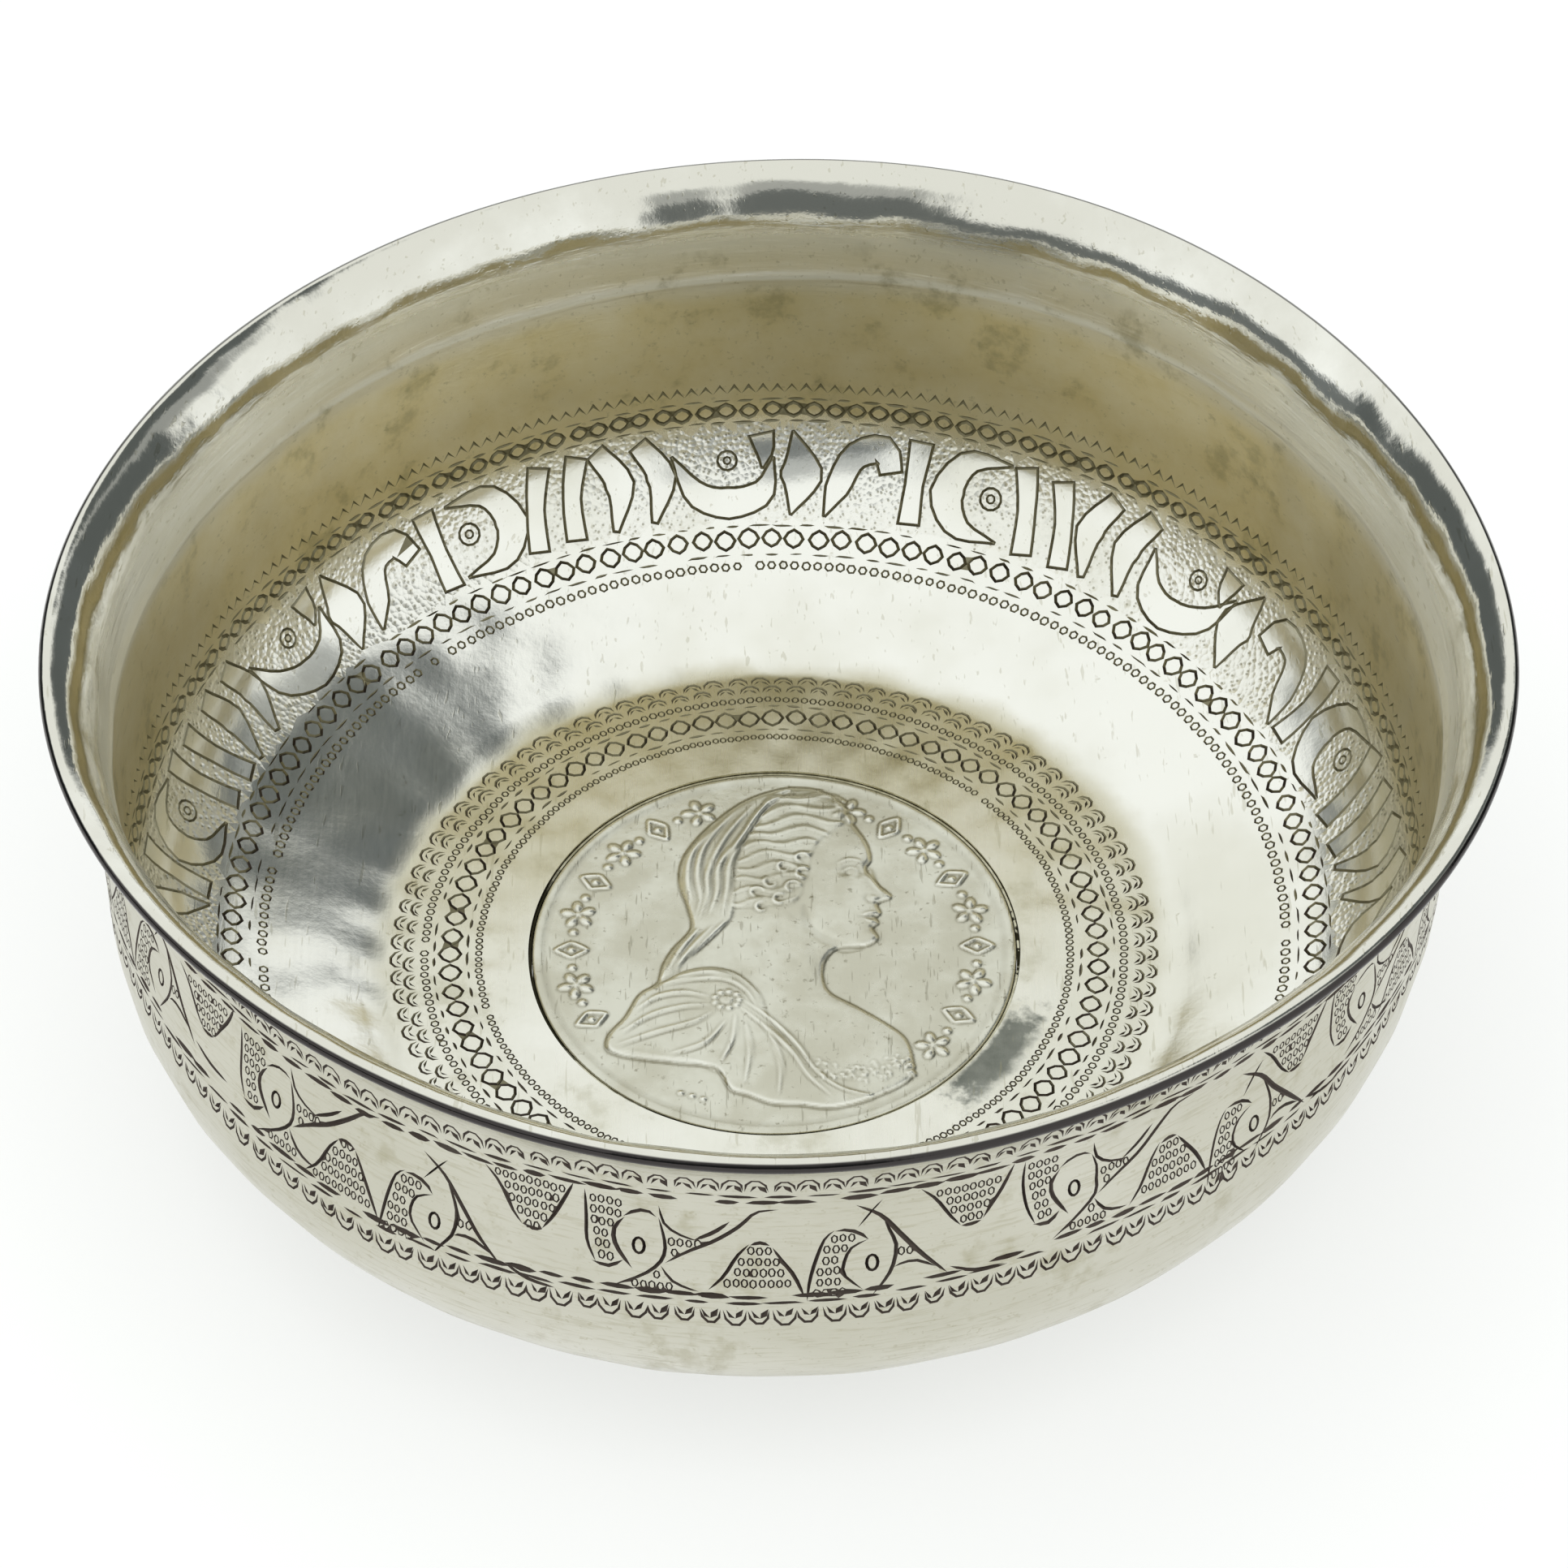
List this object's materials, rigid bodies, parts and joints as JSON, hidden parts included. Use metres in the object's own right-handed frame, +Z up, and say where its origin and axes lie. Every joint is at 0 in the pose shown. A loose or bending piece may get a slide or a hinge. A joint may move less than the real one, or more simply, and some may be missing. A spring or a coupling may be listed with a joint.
{
  "type": "silver bowl",
  "caption": "Shallow raised silver bowl with upright walls, an everted lip, engraved bands inside and out, and a coin let into its base.",
  "frame": {"origin": "the middle of the object's box, on the surface that the bowl stands on; the hand-worked mouth leans, so the axis of the coin and of the base passes 1.07 mm from it", "axes": "+Z up along the bowl's turning axis, -Y towards the side that the picture was taken from, +X to its right"},
  "size_m": [0.1144, 0.1116, 0.0396],
  "materials": {
    "bowl_silver": "polished silver with warm tarnish in the corners and darkened engraving",
    "coin_silver": "worn struck silver, softly polished with fine scratches",
    "solder": "dull grey hard solder, dark where it is sunk"
  },
  "bodies": {
    "root": {"bowl_shell": "bowl_silver", "inlaid_coin": "coin_silver", "solder_seam": "solder"}
  },
  "joints": []
}
